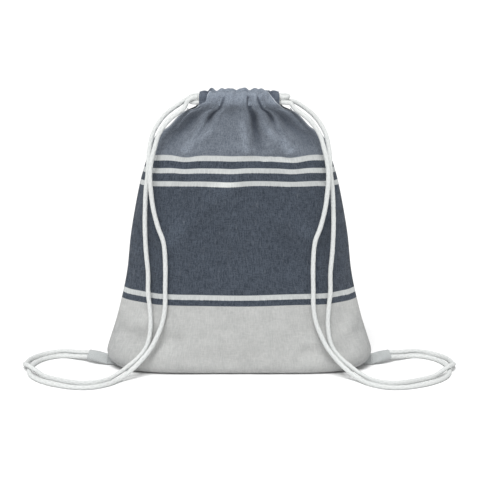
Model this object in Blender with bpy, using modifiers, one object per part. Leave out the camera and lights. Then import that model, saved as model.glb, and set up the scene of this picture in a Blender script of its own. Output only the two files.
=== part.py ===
# Drawstring backpack in woven cotton, standing on its base with its mouth drawn together.
# Metres, +Z up, front towards -Y, left is -X. The origin is under the middle of the base.

import math

import bpy
import numpy as np
from mathutils import Vector

# Driving dimensions of the bag
BODY_HEIGHT = 0.346         # floor to the lower edge of the casing
WIDEST_HALF = 0.173         # half the width, low on the side seams
BASE_HALF = 0.150           # half the length of the seam along the base
NECK_HALF = 0.0545          # half the width where the cloth enters the casing
FRONT_DEPTH = 0.042         # how far the stuffed cloth stands out from the side seams
NECK_DEPTH = 0.0175
CLOTH = 0.0014              # thickness of the cloth with its nap
SEAM_GAP = 0.0006           # half the gap between the two panels along a seam
FIT = 0.0003                # gap kept between pieces that touch

# Casing, the folded hem that the cords run in
CASING_HALF = 0.050
CASING_HEIGHT = 0.0196
CASING_DEPTH = 0.0126
CASING_WALL = 0.0015
CASING_SET_BACK = 0.0072    # from the middle plane to the casing's middle line at its ends
CASING_BOW = 0.0070         # how much further out the middle line stands at x = 0

# Cord
CORD_RADIUS = 0.0030
CORD_LEVEL = 0.0033         # the two cords run this far above and below the casing's middle
CORD_REACH = 0.0020         # how far a run stands out of the casing before it hangs free
BIGHT_START = 0.0045        # from the casing's end to the start of the turn at its far side
CORD_STUB = 0.0010          # straight at each end, so that lengths meet face to face
OPEN_SPACING = 0.0150       # between the points of a free strand
CLOSE_SPACING = 0.0032      # the same where it turns tightly, near the casing and the tab
CLOSE_REACH = 0.0240
CURVE_STEPS = 8             # samples to each stretch of a route, before they are thinned out

# Tab, a sleeve of folded tape low on each side seam that both ends of a cord are sewn into
TAB_TAPE = 0.0010
TAB_ROOT_HEIGHT = 0.0150
TAB_ROOT_Z = 0.0090         # height of the tab's middle at the seam
TAB_MOUTH_Z = 0.0098
TAB_LENGTH = 0.0290         # from the seam to the mouth of the sleeve
TAB_FLARE = 0.0140          # from the seam to where the sleeve is open enough for the cord
TAB_TAIL = 0.0110           # sewn in between the panels
TAB_BEND = math.radians(30) # the tab leans to the back
PAIR_TILT = math.radians(39) # the two strands lie in it one above the other, leaning back
CORD_INSET = 0.0130         # how deep the cord's ends go in
TAB_STAND = 0.0012          # from the widest point of the seam to where the tab starts to lean
TAB_STATIONS = (-TAB_TAIL, -0.0040, 0.0, 0.0030, 0.0060, 0.0090, 0.0115, TAB_FLARE,
                0.5 * (TAB_FLARE + TAB_LENGTH), TAB_LENGTH)
TAB_ROOM_RISE = 0.0060      # the panels stay apart for the tab this far above it
TAB_ROOM_FADE = 0.0045

# Seam allowances and thread
ALLOWANCE = 0.0070
ALLOWANCE_THICKNESS = 0.0020
SEAM_PLAY = 0.0004          # extra room where the seam bends
BASE_PLAY = 0.0001
BASE_SEAM_HALF = 0.135
SEAM_FOOT = 0.0240          # height at which the side allowances start, above the tabs
SEAM_HEAD = 0.0340          # they end this far below the casing, where the gathers start
THREAD_RADIUS = 0.00035
STITCH_HALF = 0.048
STITCH_RISE = 0.0025        # stitching above the casing's lower edge
TAB_BAR = (0.0010, 0.0005, 0.0080)
TAB_BAR_OUT = 0.0004        # from the seam's widest point to the tab's bar of thread
TAB_BAR_PLAY = 0.0002
SLIT_BAR = (0.0030, 0.0060, 0.0010)
SLIT_BAR_DROP = 0.0040      # from the casing down to the bar at the top of the side seam
SLIT_BAR_PLAY = 0.0003

# Outline of the bag from the seam in the base up to the casing: half width and height along
# the side seam, depth and height along the middle of a panel, as shares of the sizes above.
# Widths run from NECK_HALF to WIDEST_HALF, depths from 0 to FRONT_DEPTH.
CORNER_ROWS = (
    # inset of the corner from the widest point, its height, depth share, height at the middle
    (WIDEST_HALF - BASE_HALF, 0.0000, 0.000, 0.0000),
    (0.0170, 0.0020, 0.333, 0.0000),
    (0.0100, 0.0055, 0.643, 0.0000),
    (0.0040, 0.0115, 0.869, 0.0060),
    (0.0000, 0.0210, 0.964, 0.0180),
)
UPPER_ROWS = (
    # share of BODY_HEIGHT, share of the width, share of the depth
    (0.116, 0.962, 1.000),
    (0.243, 0.861, 1.000),
    (0.376, 0.776, 0.952),
    (0.532, 0.722, 0.881),
    (0.708, 0.624, 0.786),
    (0.809, 0.540, 0.714),
    (0.855, 0.502, 0.679),
    (0.902, 0.418, 0.631),
    (0.926, 0.304, 0.595),
    (0.977, 0.160, 0.488),
)
ROW_STEPS = 2
PANEL_STEPS = 20
BASE_FLATNESS = 8           # how sharply the flat base turns up towards its two corners

# First free points of a strand past the casing: further out x, further from the middle plane,
# and the share of the way from its own level in the casing to the shared level LEAD_Z.
STRAND_LEAD = (
    (0.0, 0.0, 0.0), (CORD_STUB, 0.0, 0.0), (0.0067, 0.0010, 0.06), (0.0130, 0.0027, 0.5),
)
LEAD_Z = BODY_HEIGHT + 0.0046

# Last points of a strand: distance out from the tab's mouth, and droop below its place in it
STRAND_ENTRY = (
    (0.0160, 0.0020), (0.0070, 0.0006), (0.0, 0.0), (-CORD_INSET / 2, 0.0),
    (CORD_STUB - CORD_INSET, 0.0), (-CORD_INSET, 0.0),
)

# Route of each free strand on the left, outward x, in the order that it leaves the bag.
# It goes down the front of the bag, round on the floor and back to the tab.
FRONT_STRAND = (
    (0.0711, -0.0120, 0.3450), (0.0887, -0.0170, 0.3318), (0.1013, -0.0220, 0.3147),
    (0.1077, -0.0270, 0.2951), (0.1115, -0.0300, 0.2790), (0.1129, -0.0330, 0.2620),
    (0.1118, -0.0345, 0.2420), (0.1090, -0.0355, 0.2200), (0.1034, -0.0365, 0.1970),
    (0.0965, -0.0380, 0.1767), (0.0945, -0.0395, 0.1482), (0.0950, -0.0405, 0.1169),
    (0.0956, -0.0415, 0.0920), (0.0995, -0.0430, 0.0705), (0.1080, -0.0450, 0.0500),
    (0.1160, -0.0475, 0.0362), (0.1290, -0.0530, 0.0215), (0.1408, -0.0600, 0.0120),
    (0.1531, -0.0680, 0.0050), (0.1664, -0.0830, 0.0032), (0.1826, -0.0942, 0.0032),
    (0.1994, -0.0975, 0.0032), (0.2209, -0.0926, 0.0032), (0.2457, -0.0789, 0.0032),
    (0.2645, -0.0594, 0.0032), (0.2738, -0.0368, 0.0032), (0.2742, -0.0125, 0.0032),
    (0.2660, 0.0110, 0.0032), (0.2500, 0.0262, 0.0032), (0.2330, 0.0300, 0.0032),
)
BACK_STRAND = (
    (0.0744, 0.0105, 0.3492), (0.0949, 0.0070, 0.3342), (0.1087, -0.0020, 0.3151),
    (0.1140, -0.0100, 0.2958), (0.1155, -0.0160, 0.2801), (0.1165, -0.0215, 0.2630),
    (0.1190, -0.0250, 0.2402), (0.1203, -0.0270, 0.2119), (0.1205, -0.0285, 0.1914),
    (0.1195, -0.0300, 0.1641), (0.1172, -0.0320, 0.1357), (0.1174, -0.0335, 0.1109),
    (0.1155, -0.0350, 0.0901), (0.1145, -0.0375, 0.0697), (0.1168, -0.0400, 0.0490),
    (0.1225, -0.0425, 0.0352), (0.1325, -0.0465, 0.0240), (0.1438, -0.0520, 0.0158),
    (0.1535, -0.0585, 0.0100), (0.1685, -0.0680, 0.0040), (0.1842, -0.0774, 0.0032),
    (0.2032, -0.0795, 0.0032), (0.2273, -0.0699, 0.0032), (0.2509, -0.0550, 0.0036),
    (0.2640, -0.0440, 0.0076), (0.2740, -0.0330, 0.0102), (0.2810, -0.0200, 0.0084),
    (0.2822, -0.0060, 0.0042), (0.2770, 0.0210, 0.0032), (0.2585, 0.0410, 0.0034),
    (0.2370, 0.0395, 0.0065),
)

COLOURS = {
    "striped_cotton": (0.085, 0.105, 0.145),
    "grey_cotton": (0.560, 0.575, 0.580),
    "cord_cotton": (0.830, 0.835, 0.825),
    "sewing_thread": (0.300, 0.320, 0.360),
}


def clear_scene():
    for obj in list(bpy.data.objects):
        bpy.data.objects.remove(obj, do_unlink=True)


def make_materials():
    materials = {}
    for name, colour in COLOURS.items():
        material = bpy.data.materials.new(name)
        material.use_nodes = True
        shader = material.node_tree.nodes["Principled BSDF"]
        shader.inputs["Base Color"].default_value = (*colour, 1.0)
        shader.inputs["Roughness"].default_value = 0.9
        shader.inputs["Metallic"].default_value = 0.0
        materials[name] = material
    return materials


def smooth_curve(points, steps):
    """A smooth curve through the points, with so many samples to each stretch."""
    points = np.array(points, dtype=float)
    before = np.vstack([2 * points[0] - points[1], points[:-2]])
    after = np.vstack([points[2:], 2 * points[-1] - points[-2]])
    samples = []
    for first, start, end, last in zip(before, points[:-1], points[1:], after):
        for step in range(steps):
            t = step / steps
            samples.append(0.5 * (2 * start + (end - first) * t
                                  + (2 * first - 5 * start + 4 * end - last) * t ** 2
                                  + (3 * start - first - 3 * end + last) * t ** 3))
    samples.append(points[-1])
    return np.array(samples)


def bag_rows():
    """Rows of side half width, side height, middle depth and middle height, base to neck."""
    rows = []
    for inset, side_z, depth, middle_z in CORNER_ROWS:
        rows.append((WIDEST_HALF - inset, side_z, depth * FRONT_DEPTH, middle_z))
    for height, width, depth in UPPER_ROWS:
        z = height * BODY_HEIGHT
        rows.append((NECK_HALF + width * (WIDEST_HALF - NECK_HALF), z, depth * FRONT_DEPTH, z))
    rows.append((NECK_HALF, BODY_HEIGHT, NECK_DEPTH, BODY_HEIGHT))
    return np.maximum(smooth_curve(rows, ROW_STEPS), 0.0)


def side_outline():
    """The side seam's line, as x and z, from the widest point up to the neck."""
    rows = bag_rows()
    start = (len(CORNER_ROWS) - 1) * ROW_STEPS
    return rows[start:, 0], rows[start:, 1]


def side_offset(z, inward):
    """The point at that height on the side seam, moved inward square to the seam."""
    outline_x, outline_z = side_outline()
    here = np.array([np.interp(z, outline_z, outline_x), z])
    above = np.array([np.interp(z + 0.001, outline_z, outline_x), z + 0.001])
    along = (above - here) / np.linalg.norm(above - here)
    return here + inward * np.array([-along[1], along[0]])


def finish_object(obj, material, collection):
    obj.data.materials.append(material)
    collection.objects.link(obj)
    return obj


def grid_object(name, grid, material, collection):
    """An open surface lofted through rows of points."""
    rows = len(grid)
    columns = len(grid[0])
    vertices = [tuple(point) for row in grid for point in row]
    faces = []
    for row in range(rows - 1):
        for column in range(columns - 1):
            corner = row * columns + column
            faces.append((corner, corner + 1, corner + columns + 1, corner + columns))
    mesh = bpy.data.meshes.new(name)
    mesh.from_pydata(vertices, [], faces)
    return finish_object(bpy.data.objects.new(name, mesh), material, collection)


def tube_object(name, rings, material, collection, inside_out=False):
    """An open tube lofted through closed rings of points."""
    count = len(rings[0])
    vertices = [tuple(point) for ring in rings for point in ring]
    faces = []
    for row in range(len(rings) - 1):
        for turn in range(count):
            here = row * count
            beside = (turn + 1) % count
            face = (here + turn, here + count + turn, here + count + beside, here + beside)
            faces.append(face[::-1] if inside_out else face)
    mesh = bpy.data.meshes.new(name)
    mesh.from_pydata(vertices, [], faces)
    return finish_object(bpy.data.objects.new(name, mesh), material, collection)


def thicken(obj, thickness, offset):
    solidify = obj.modifiers.new("Thickness", "SOLIDIFY")
    solidify.thickness = thickness
    solidify.offset = offset


def make_box(name, size, location, material, collection):
    bpy.ops.mesh.primitive_cube_add(size=1.0, location=location)
    obj = bpy.context.active_object
    obj.name = name
    obj.data.name = name
    obj.data.transform(((size[0], 0, 0, 0), (0, size[1], 0, 0), (0, 0, size[2], 0), (0, 0, 0, 1)))
    for holder in list(obj.users_collection):
        holder.objects.unlink(obj)
    return finish_object(obj, material, collection)


def make_tube(name, points, radius, origin, material, collection):
    curve = bpy.data.curves.new(name, "CURVE")
    curve.dimensions = "3D"
    curve.bevel_depth = radius
    curve.bevel_resolution = 2
    curve.use_fill_caps = True
    spline = curve.splines.new("POLY")
    spline.points.add(len(points) - 1)
    for target, point in zip(spline.points, points):
        target.co = (*(Vector(point) - Vector(origin)), 1.0)
    obj = bpy.data.objects.new(name, curve)
    obj.location = origin
    return finish_object(obj, material, collection)


def tab_opening(z):
    """1 where the tab comes out between the panels, 0 above it."""
    top = TAB_ROOT_Z + TAB_ROOT_HEIGHT / 2
    return float(np.clip((top + TAB_ROOM_RISE - z) / TAB_ROOM_FADE, 0.0, 1.0))


def make_panel(name, facing, material, collection):
    """One cloth panel; facing is -1 for the front and 1 for the back."""
    tab_room = TAB_TAPE + FIT / 2 + 2 * FIT
    grid = []
    for side_x, side_z, depth, middle_z in bag_rows():
        row = []
        for step in range(PANEL_STEPS + 1):
            angle = math.pi * step / PANEL_STEPS
            across = -facing * math.cos(angle)
            edge = abs(across) ** BASE_FLATNESS
            gap = SEAM_GAP + tab_room * tab_opening(side_z) * edge
            y = facing * (gap + depth * math.sin(angle))
            row.append((side_x * across, y, middle_z + (side_z - middle_z) * edge))
        grid.append(row)
    panel = grid_object(name, grid, material, collection)
    thicken(panel, CLOTH, 1.0)
    return panel


def casing_line(x):
    """Distance of the casing's middle line from the middle plane."""
    return CASING_SET_BACK + CASING_BOW * math.cos(0.5 * math.pi * x / (1.1 * CASING_HALF))


def casing_centre_z():
    return BODY_HEIGHT + FIT + CASING_HEIGHT / 2


def casing_section(angle):
    """Half depth and height of the flattened tube's outside at an angle round it."""
    cosine = math.cos(angle)
    sine = math.sin(angle)
    y = math.copysign(abs(cosine) ** 0.5, cosine) * CASING_DEPTH / 2
    z = math.copysign(abs(sine) ** 0.5, sine) * CASING_HEIGHT / 2
    return y, z


def make_casing(name, facing, material, collection):
    ring_steps = 12
    length_steps = 12
    centre_z = casing_centre_z()
    rings = []
    for step in range(length_steps + 1):
        x = CASING_HALF * (2 * step / length_steps - 1)
        ring = []
        for turn in range(ring_steps):
            y, z = casing_section(2 * math.pi * turn / ring_steps)
            ring.append((x, facing * casing_line(x) + y, centre_z + z))
        rings.append(ring)
    casing = tube_object(name, rings, material, collection)
    thicken(casing, CASING_WALL, 1.0)
    return casing


def make_casing_stitching(name, facing, material, collection):
    rise = STITCH_RISE - CASING_HEIGHT / 2
    half_depth = CASING_DEPTH / 2 * (1 - (2 * abs(rise) / CASING_HEIGHT) ** 4) ** 0.25
    out = half_depth + FIT + THREAD_RADIUS
    points = []
    for x in np.linspace(-STITCH_HALF, STITCH_HALF, 17):
        points.append((x, facing * (casing_line(x) + out), casing_centre_z() + rise))
    return make_tube(name, points, THREAD_RADIUS, (0, 0, 0), material, collection)


def make_side_seam(name, side, material, collection):
    """The overlocked allowance of both panels, inside the side seam."""
    near = CLOTH + FIT + SEAM_PLAY
    grid = []
    for z in np.linspace(SEAM_FOOT, BODY_HEIGHT - SEAM_HEAD, 18):
        outer = side_offset(z, near)
        inner = side_offset(z, near + ALLOWANCE)
        grid.append([(side * outer[0], 0, outer[1]), (side * inner[0], 0, inner[1])])
    seam = grid_object(name, grid, material, collection)
    thicken(seam, ALLOWANCE_THICKNESS, 0.0)
    return seam


def make_bottom_seam(name, material, collection):
    size = (2 * BASE_SEAM_HALF, ALLOWANCE_THICKNESS, ALLOWANCE)
    foot = CLOTH + FIT + BASE_PLAY
    return make_box(name, size, (0, 0, foot + ALLOWANCE / 2), material, collection)


def tab_place(side, out, across):
    """World x and y of a point of the tab, out from the seam and across the tab."""
    bend = TAB_BEND if out > 0 else 0.0
    x = WIDEST_HALF + FIT + TAB_STAND + out * math.cos(bend) + across * math.sin(bend)
    y = out * math.sin(bend) - across * math.cos(bend)
    return side * x, y


def strand_offset():
    """How far each strand lies from the middle of the tab, across and up."""
    half = CORD_RADIUS + FIT / 2
    return half * math.sin(PAIR_TILT), half * math.cos(PAIR_TILT)


def tab_section(out):
    """Half the line between the centres of the section's two round ends, and their radius."""
    open_share = float(np.clip(out / TAB_FLARE, 0.0, 1.0))
    flat_radius = TAB_TAPE + FIT / 2
    flat = np.array([0.0, TAB_ROOT_HEIGHT / 2 - flat_radius])
    full_radius = CORD_RADIUS + FIT + TAB_TAPE
    full = np.array(strand_offset())
    half_line = flat + (full - flat) * open_share
    return half_line, flat_radius + (full_radius - flat_radius) * open_share


def make_tab(name, side, material, collection):
    """A flattened sleeve that opens out from its sewn-in tail to its mouth."""
    half_turn = 8
    rows = []
    for out in TAB_STATIONS:
        half_line, radius = tab_section(out)
        lean = math.atan2(half_line[1], half_line[0])
        rise = float(np.clip(out / TAB_FLARE, 0.0, 1.0))
        middle = TAB_ROOT_Z + (TAB_MOUTH_Z - TAB_ROOT_Z) * rise
        row = []
        for end in (1, -1):
            for turn in range(half_turn):
                start = lean if end > 0 else lean + math.pi
                angle = start + math.pi * (turn / (half_turn - 1) - 0.5)
                across = end * half_line[0] + radius * math.cos(angle)
                x, y = tab_place(side, out, -across)
                row.append((x, y, middle + end * half_line[1] + radius * math.sin(angle)))
        rows.append(row)
    tab = tube_object(name, rows, material, collection, inside_out=side < 0)
    thicken(tab, TAB_TAPE, 1.0)
    return tab


def make_tab_bartack(name, side, material, collection):
    """A short bar of thread on the front of the tab's root."""
    x = WIDEST_HALF + FIT + TAB_BAR_OUT
    y = -(TAB_TAPE + FIT / 2 + FIT + TAB_BAR_PLAY + TAB_BAR[1] / 2)
    return make_box(name, TAB_BAR, (side * x, y, TAB_ROOT_Z), material, collection)


def make_slit_bartack(name, side, material, collection):
    """A bar of thread across both panels, where the side seam ends below the casing."""
    z = BODY_HEIGHT - SLIT_BAR_DROP
    centre = side_offset(z, -(FIT + SLIT_BAR_PLAY + SLIT_BAR[2] / 2))
    below = side_offset(z - 0.002, 0.0)
    above = side_offset(z + 0.002, 0.0)
    slope = math.atan2(above[1] - below[1], below[0] - above[0])
    bar = make_box(name, SLIT_BAR, (side * centre[0], 0, centre[1]), material, collection)
    bar.rotation_euler = (0, side * slope, 0)
    return bar


def cord_level(side):
    """The left cord runs above the right one, so that the two never cross in the casing."""
    return casing_centre_z() - side * CORD_LEVEL


def make_drawcord_run(name, side, material, collection):
    """The part of a cord inside the casing: in at the back, round the far end, out in front."""
    level = cord_level(side)
    exit_x = CASING_HALF + CORD_REACH
    radius = casing_line(exit_x)
    run = [(exit_x, -radius), (exit_x - CORD_STUB, -radius)]
    for x in np.linspace(exit_x - 4 * CORD_STUB, -exit_x, 15):
        run.append((x, -casing_line(x)))
    turn_x = -(CASING_HALF + BIGHT_START)
    bight = []
    for angle in np.linspace(0, math.pi, 9):
        bight.append((turn_x - radius * math.sin(angle), -radius * math.cos(angle)))
    back = [(x, -y) for x, y in reversed(run)]
    points = [(side * x, y, level) for x, y in [*run, *bight, *back]]
    return make_tube(name, points, CORD_RADIUS, (side * exit_x, 0, level), material, collection)


def strand_start(side, facing):
    """The first free points of a strand, clear of the other cord's turn below or above it."""
    level = cord_level(side)
    exit_x = CASING_HALF + CORD_REACH + FIT
    exit_y = casing_line(CASING_HALF + CORD_REACH)
    points = []
    for out, spread, share in STRAND_LEAD:
        z = level + (LEAD_Z - level) * share
        points.append((exit_x + out, facing * (exit_y + spread), z))
    return points


def tab_entry(side, over):
    """The last points of a strand, into the tab; over is 1 for the upper strand, else -1."""
    across, rise = strand_offset()
    points = []
    for out, droop in STRAND_ENTRY:
        x, y = tab_place(side, TAB_LENGTH + out, -over * across)
        points.append((side * x, y, TAB_MOUTH_Z + over * rise - droop))
    return points


def thin_out(curve, steps):
    """Keep points at the open spacing, closer ones near the ends, and both straight stubs."""
    travelled = np.concatenate([[0], np.cumsum(np.linalg.norm(np.diff(curve, axis=0), axis=1))])
    last = len(curve) - 1
    kept = [0, steps]
    for index in range(steps + 1, last - steps):
        from_end = min(travelled[index], travelled[-1] - travelled[index])
        spacing = CLOSE_SPACING if from_end < CLOSE_REACH else OPEN_SPACING
        behind = travelled[index] - travelled[kept[-1]]
        ahead = travelled[last - steps] - travelled[index]
        if behind >= spacing and ahead > CLOSE_SPACING / 2:
            kept.append(index)
    return curve[[*kept, last - steps, last]]


def make_strand(name, side, facing, route, over, material, collection):
    """A free length of cord, from the casing down to the floor and back to the tab."""
    points = [*strand_start(side, facing), *route, *tab_entry(side, over)]
    curve = thin_out(smooth_curve(points, CURVE_STEPS), CURVE_STEPS)
    world = [(side * x, y, z) for x, y, z in curve]
    return make_tube(name, world, CORD_RADIUS, (0, 0, 0), material, collection)


def build():
    clear_scene()
    collection = bpy.data.collections.new("drawstring_backpack")
    bpy.context.scene.collection.children.link(collection)
    materials = make_materials()
    striped = materials["striped_cotton"]
    grey = materials["grey_cotton"]
    cord = materials["cord_cotton"]
    thread = materials["sewing_thread"]

    for word, facing in (("front", -1), ("back", 1)):
        make_panel(f"{word}_panel", facing, striped, collection)
        make_casing(f"{word}_casing", facing, striped, collection)
        make_casing_stitching(f"{word}_casing_stitching", facing, thread, collection)
    make_bottom_seam("bottom_seam", thread, collection)
    for word, side in (("left", -1), ("right", 1)):
        make_side_seam(f"{word}_side_seam", side, thread, collection)
        make_tab(f"{word}_tab", side, grey, collection)
        make_tab_bartack(f"{word}_tab_bartack", side, thread, collection)
        make_slit_bartack(f"{word}_slit_bartack", side, thread, collection)
        make_drawcord_run(f"{word}_drawcord_run", side, cord, collection)
        make_strand(f"{word}_cord_front_strand", side, -1, FRONT_STRAND, -1, cord, collection)
        make_strand(f"{word}_cord_back_strand", side, 1, BACK_STRAND, 1, cord, collection)


build()
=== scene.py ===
import math

import bpy
import numpy as np
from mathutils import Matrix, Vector


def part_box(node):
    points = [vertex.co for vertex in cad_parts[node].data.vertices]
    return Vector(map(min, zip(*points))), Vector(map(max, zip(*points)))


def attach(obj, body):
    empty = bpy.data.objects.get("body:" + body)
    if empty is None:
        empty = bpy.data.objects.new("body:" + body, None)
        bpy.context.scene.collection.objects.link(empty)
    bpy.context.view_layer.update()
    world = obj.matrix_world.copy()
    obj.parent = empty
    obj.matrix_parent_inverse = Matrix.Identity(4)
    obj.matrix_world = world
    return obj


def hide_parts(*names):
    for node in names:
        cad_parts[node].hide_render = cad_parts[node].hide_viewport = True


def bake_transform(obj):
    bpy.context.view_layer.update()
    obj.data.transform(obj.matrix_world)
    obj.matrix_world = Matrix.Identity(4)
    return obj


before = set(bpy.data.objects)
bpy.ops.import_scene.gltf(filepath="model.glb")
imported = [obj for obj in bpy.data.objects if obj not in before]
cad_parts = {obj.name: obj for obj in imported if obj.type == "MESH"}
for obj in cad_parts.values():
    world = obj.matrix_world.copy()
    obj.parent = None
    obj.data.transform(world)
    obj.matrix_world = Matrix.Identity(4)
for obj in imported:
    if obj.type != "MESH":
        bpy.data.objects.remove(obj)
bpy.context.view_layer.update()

collection = bpy.context.scene.collection
print("frame loaded:", len(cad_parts), "CAD nodes")


sides = (("left", -1), ("right", 1))


def linked(name, data):
    made = bpy.data.objects.new(name, data)
    collection.objects.link(made)
    return made


# camera, floor and light

studio = {
    "lens": 115.385,
    "distance": 2.0,
    "clip": (0.05, 200.0),
    "elevation": 14.0,
    "target": (0.001, 0.0, 0.1712),
    "floorHalf": 40.0,
    "floorColour": (0.93, 0.93, 0.93),
    "floorRoughness": 0.9,
    "skyStrength": 0.48,
    "sunStrength": 2.8,
    "sunElevation": 60.0,
    "sunSide": -12.0,
    "sunSoftness": 30.0,
}


def aimed(made, direction, axis):
    made.rotation_mode = "QUATERNION"
    made.rotation_quaternion = direction.to_track_quat(axis, "Y")


def makeStudio(look):
    scene = bpy.context.scene
    scene.view_settings.view_transform = "Standard"
    tilt = math.radians(look["elevation"])
    back = Vector((0.0, -math.cos(tilt), math.sin(tilt)))
    lens = bpy.data.cameras.new("camera")
    lens.lens = look["lens"]
    lens.clip_start, lens.clip_end = look["clip"]
    scene.camera = linked("camera", lens)
    scene.camera.location = Vector(look["target"]) + back * look["distance"]
    aimed(scene.camera, -back, "-Z")

    half = look["floorHalf"]
    corners = [(-half, -half, 0), (half, -half, 0), (half, half, 0), (-half, half, 0)]
    floorMesh = bpy.data.meshes.new("floor")
    floorMesh.from_pydata(corners, [], [(0, 1, 2, 3)])
    floor = linked("floor", floorMesh)
    paint = bpy.data.materials.new("floorPaint")
    paint.use_nodes = True
    shader = paint.node_tree.nodes["Principled BSDF"]
    shader.inputs["Base Color"].default_value = (*look["floorColour"], 1.0)
    shader.inputs["Roughness"].default_value = look["floorRoughness"]
    shader.inputs["Specular IOR Level"].default_value = 0.0
    floorMesh.materials.append(paint)

    world = scene.world or bpy.data.worlds.new("sky")
    scene.world = world
    world.use_nodes = True
    sky = world.node_tree.nodes["Background"]
    sky.inputs["Color"].default_value = (1.0, 1.0, 1.0, 1.0)
    sky.inputs["Strength"].default_value = look["skyStrength"]

    sunData = bpy.data.lights.new("softSun", "SUN")
    sunData.energy = look["sunStrength"]
    sunData.angle = math.radians(look["sunSoftness"])
    high = math.radians(look["sunElevation"])
    aside = math.radians(look["sunSide"])
    toward = Vector((math.sin(aside) * math.cos(high), -math.cos(aside) * math.cos(high),
                     math.sin(high)))
    aimed(linked("softSun", sunData), toward, "Z")


makeStudio(studio)
print("studio ready")


# shader maths

def maths(operation, reflected=False):
    def apply(self, *others):
        values = (*others, self) if reflected else (self, *others)
        return self.board.node("ShaderNodeMath", {"operation": operation},
                               dict(enumerate(values)))
    return apply


class Signal:
    # wraps one socket, so that node maths reads as plain expressions
    __add__, __radd__ = maths("ADD"), maths("ADD", True)
    __sub__, __rsub__ = maths("SUBTRACT"), maths("SUBTRACT", True)
    __mul__, __rmul__ = maths("MULTIPLY"), maths("MULTIPLY", True)
    __truediv__ = maths("DIVIDE")
    floor, fract, sine, size = maths("FLOOR"), maths("FRACT"), maths("SINE"), maths("ABSOLUTE")
    modulo, larger = maths("FLOORED_MODULO"), maths("MAXIMUM")

    def __init__(self, board, socket):
        self.board = board
        self.socket = socket

    def ramp(self, low, high, start=0.0, end=1.0):
        settings = {"interpolation_type": "SMOOTHSTEP"}
        inputs = {"Value": self, "From Min": low, "From Max": high, "To Min": start, "To Max": end}
        return self.board.node("ShaderNodeMapRange", settings, inputs)


class Tree:
    # a node tree, and the one method that adds a node to it
    def __init__(self, tree):
        self.tree = tree

    def plug(self, socket, value):
        if isinstance(value, Signal):
            self.tree.links.new(value.socket, socket)
        elif isinstance(value, tuple) and socket.type == "RGBA":
            socket.default_value = (*value, 1.0) if len(value) == 3 else value
        else:
            socket.default_value = value

    def node(self, kind, settings=None, inputs=None, output=0):
        made = self.tree.nodes.new(kind)
        for key, value in (settings or {}).items():
            setattr(made, key, value)
        for key, value in (inputs or {}).items():
            self.plug(made.inputs[key], value)
        return Signal(self, made.outputs[output])

    def vector(self, x=0.0, y=0.0, z=0.0):
        return self.node("ShaderNodeCombineXYZ", {}, {0: x, 1: y, 2: z})


class Board(Tree):
    # one material and the nodes on it
    def __init__(self, name):
        self.material = bpy.data.materials.new(name)
        self.material.use_nodes = True
        super().__init__(self.material.node_tree)
        self.shader = self.tree.nodes["Principled BSDF"]

    def mix(self, factor, first, second, blend="MIX"):
        settings = {"data_type": "RGBA", "blend_type": blend, "clamp_factor": True}
        return self.node("ShaderNodeMix", settings, {0: factor, 6: first, 7: second}, 2)

    def attribute(self, name):
        return self.node("ShaderNodeAttribute", {"attribute_name": name}, {}, "Fac")

    def places(self):
        # across and along the piece's own UV map, then the place in the room
        uv = self.node("ShaderNodeUVMap", {"uv_map": "pattern"})
        across, along, _ = self.parts(uv)
        return across, along, self.room()

    def room(self):
        return self.node("ShaderNodeTexCoord", {}, {}, "Object")

    def noise(self, vector, scale, detail, roughness):
        inputs = {"Vector": vector, "Scale": scale, "Detail": detail, "Roughness": roughness}
        return self.node("ShaderNodeTexNoise", {"noise_dimensions": "3D"}, inputs, "Fac")

    def parts(self, vector):
        first = self.node("ShaderNodeSeparateXYZ", {}, {0: vector})
        return [Signal(self, out) for out in first.socket.node.outputs]

    def bump(self, height, distance, strength):
        inputs = {"Height": height, "Distance": distance, "Strength": strength}
        return self.node("ShaderNodeBump", {}, inputs)

    def finish(self, colour, roughness, normal, specular, sheen, sheenRoughness=None):
        values = {"Base Color": colour, "Roughness": roughness, "Normal": normal,
                  "Specular IOR Level": specular, "Sheen Weight": sheen}
        if sheenRoughness is not None:
            values["Sheen Roughness"] = sheenRoughness
        for key, value in values.items():
            self.plug(self.shader.inputs[key], value)
        return self.material


def paint(red, green, blue):
    # display colour from 0 to 255, as the linear colour a shader takes
    linear = []
    for part in (red, green, blue):
        share = part / 255
        low = share / 12.92
        high = ((share + 0.055) / 1.055) ** 2.4
        linear.append(low if share <= 0.04045 else high)
    return tuple(linear)


# small geometry helpers

def smoothStep(low, high, value):
    share = np.clip((value - low) / (high - low), 0.0, 1.0)
    return share * share * (3 - 2 * share)


def smoothCurve(points, steps):
    points = np.array(points, dtype=float)
    before = np.vstack([2 * points[0] - points[1], points[:-2]])
    after = np.vstack([points[2:], 2 * points[-1] - points[-2]])
    samples = []
    for first, start, end, last in zip(before, points[:-1], points[1:], after):
        for step in range(steps):
            t = step / steps
            bent = (2 * first - 5 * start + 4 * end - last) * t ** 2
            twisted = (3 * start - first - 3 * end + last) * t ** 3
            samples.append(0.5 * (2 * start + (end - first) * t + bent + twisted))
    samples.append(points[-1])
    return np.array(samples)


def travelled(points):
    return np.concatenate([[0.0], np.cumsum(np.linalg.norm(np.diff(points, axis=0), axis=1))])


def evenly(points, spacing):
    far = travelled(points)
    count = max(2, int(round(far[-1] / spacing)) + 1)
    places = np.linspace(0.0, far[-1], count)
    return np.stack([np.interp(places, far, points[:, axis]) for axis in range(3)], axis=1)


def gridFaces(rows, columns, closed=False):
    row, column = np.meshgrid(np.arange(rows - 1), np.arange(columns if closed else columns - 1),
                              indexing="ij")
    here = row * columns + column
    beside = row * columns + (column + 1) % columns
    faces = np.stack([here, beside, beside + columns, here + columns], axis=-1)
    return faces.reshape(-1, 4)


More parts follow.
